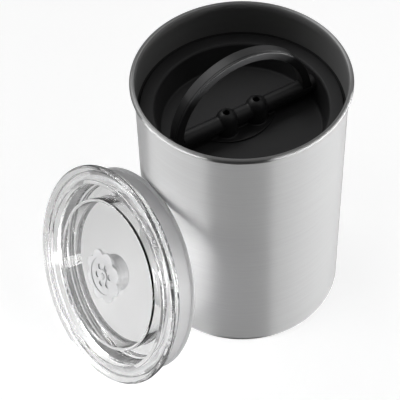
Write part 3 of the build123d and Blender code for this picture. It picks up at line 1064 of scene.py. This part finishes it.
# %% Cup behind the vent valve
def make_cup():
    bottom = plate_underside - cup_length
    neck_bottom = plate_underside - valve_neck_reach
    rear_edge = (cup_radius, bottom)
    front_edge = (cup_radius, plate_underside)
    seat = valve_neck_radius + cup_fit
    outline = [(0, bottom), rear_edge, front_edge, (seat, plate_underside), (seat, neck_bottom),
               (cup_radius - cup_wall, neck_bottom), (cup_radius - cup_wall, bottom + cup_wall),
               (0, bottom + cup_wall)]
    cup = turned("vent_cup", outline, [(rear_edge, cup_round), (front_edge, cup_wall / 4)], steps=96)
    for place in round_places(valve_windows, cup_hole_circle):
        hole = rod(cup_hole_radius, 4 * cup_wall, place + Vector((0, 0, bottom)), sides=24)
        combine(cup, hole, "DIFFERENCE")
    return placed(smooth(tidy_mesh(cup)), lid_place)


dress(make_cup(), milky, "outer_lid", ["lid_valve_cup"])
for name in ("lid_valve_washer", "lid_valve_membrane"):
    dress(nodes[name], milky)

# %% [markdown]
# ## The studio
#
# The photograph is a plain catalogue picture: a white floor, and a long lens that looks down at
# fifty degrees. The floor is a pale diffuse surface that keeps the shadows, with a share of its own
# glow where the camera sees it, so that it comes out white without more light on the canister. In
# what shiny surfaces mirror, the same floor's colour is painted darker: a painted shade that only
# its reflections show.

# %% Floor
floor_level = 0.93
# Painted shade: how much darker the floor's colour is painted where shiny surfaces mirror it.
painted_reflection_darkening = 0.76
glow_level = 1.75
glow_share = 0.30


def make_floor():
    bpy.ops.object.select_all(action="DESELECT")
    bpy.ops.mesh.primitive_plane_add(size=8)
    floor = named(bpy.context.object, "studio_floor")
    finish = Finish("studio_white", roughness=0.9, specular_ior_level=0.0)
    # Painted shade: for glossy rays the floor's colour is painted darker, so shiny surfaces mirror a darker
    # floor.
    mirrored = finish.ray("Glossy") * (1.0 - finish.ray("Transmission"))
    finish.drive(base_color=finish.tint(floor_level - mirrored * painted_reflection_darkening))
    glow = finish.node("Emission", inputs={"Color": grey(1.0), "Strength": glow_level})
    finish.choose(finish.ray("Camera") * glow_share, finish.look, glow)
    floor.data.materials.append(finish.material)


make_floor()

# %% [markdown]
# ## Lamps and sky
#
# Scratches that run round a steel wall mirror what stands low beside it, so two long low soft boxes
# light its sides. Between them the front of the sky is dark, and the wall's middle mirrors that as
# the dark band of the photograph. A soft box high at the back lights the tops of the edges. The sky
# is even from above, and white where the camera looks past the floor or through the clear lid.


# %% Lamps
def softbox(name, *, place, target, width, height, power):
    lamp = bpy.data.lights.new(name, "AREA")
    lamp.shape = "RECTANGLE"
    lamp.size, lamp.size_y = width, height
    lamp.energy = power
    box = bpy.data.objects.new(name, lamp)
    bpy.context.scene.collection.objects.link(box)
    box.location = place
    box.rotation_euler = (Vector(target) - Vector(place)).to_track_quat("-Z", "Y").to_euler()
    print(name, round(power / (width * height), 1), "watts to the square metre")


side_middle = 0.11
side_target = (0, 0, side_middle)
softbox("side_left", place=(-0.706, -0.376, side_middle), target=side_target,
        width=1.00, height=2 * side_middle, power=8.5)
softbox("side_right", place=(0.765, -0.234, side_middle), target=side_target,
        width=1.72, height=2 * side_middle, power=15.5)
softbox("key_back", place=(-0.6, 0.6, 1.2), target=(0, 0, canister_height / 2),
        width=0.8, height=0.8, power=3.5)

# %% Sky
sky_level = 0.36
dark_level = 0.01
dark_side = (0.0, -1.0, 0.0)
dark_start = 0.1
dark_end = 0.7


def make_sky():
    world = bpy.data.worlds.new("studio_world")
    bpy.context.scene.world = world
    world.use_nodes = True
    sky = Nodes(world.node_tree)
    sky.tree.nodes.remove(sky.tree.nodes["Background"])
    way = sky.node("TexCoord", output="Generated")
    towards = sky.node("VectorMath", {"operation": "DOT_PRODUCT"}, {0: way, 1: dark_side}, output="Value")
    strength = sky.fade(towards, dark_start, dark_end, sky_level, dark_level)
    dim = sky.node("Background", inputs={"Color": grey(1.0), "Strength": strength})
    white = sky.node("Background", inputs={"Color": grey(1.0), "Strength": 1.0})
    sky.choose(sky.ray("Camera").largest(sky.ray("Transmission")), dim, white, "World Output")


make_sky()
bpy.context.scene.view_settings.view_transform = "Standard"

# %% [markdown]
# ## The camera
#
# The camera's place and angles were solved from the rim's ellipse, the base's arc and the straight
# sides, so the render can be laid over the photograph.

# %% Camera
photo_size = 400
focal_pixels = 1506.0
camera_place = (4.4 * mm, -614.9 * mm, 807.9 * mm)
camera_tilt = radians(39.68)
camera_yaw = radians(2.9)
camera_roll = radians(-2.1)

camera_data = bpy.data.cameras.new("photo_camera")
camera_data.sensor_width = 36.0
camera_data.lens = focal_pixels * camera_data.sensor_width / photo_size
camera = bpy.data.objects.new("photo_camera", camera_data)
bpy.context.scene.collection.objects.link(camera)
camera.matrix_world = (Matrix.Translation(camera_place) @ Matrix.Rotation(camera_yaw, 4, "Z")
                       @ Matrix.Rotation(camera_tilt, 4, "X") @ Matrix.Rotation(camera_roll, 4, "Z"))
bpy.context.scene.camera = camera
print("lens", round(camera_data.lens, 1), "mm")
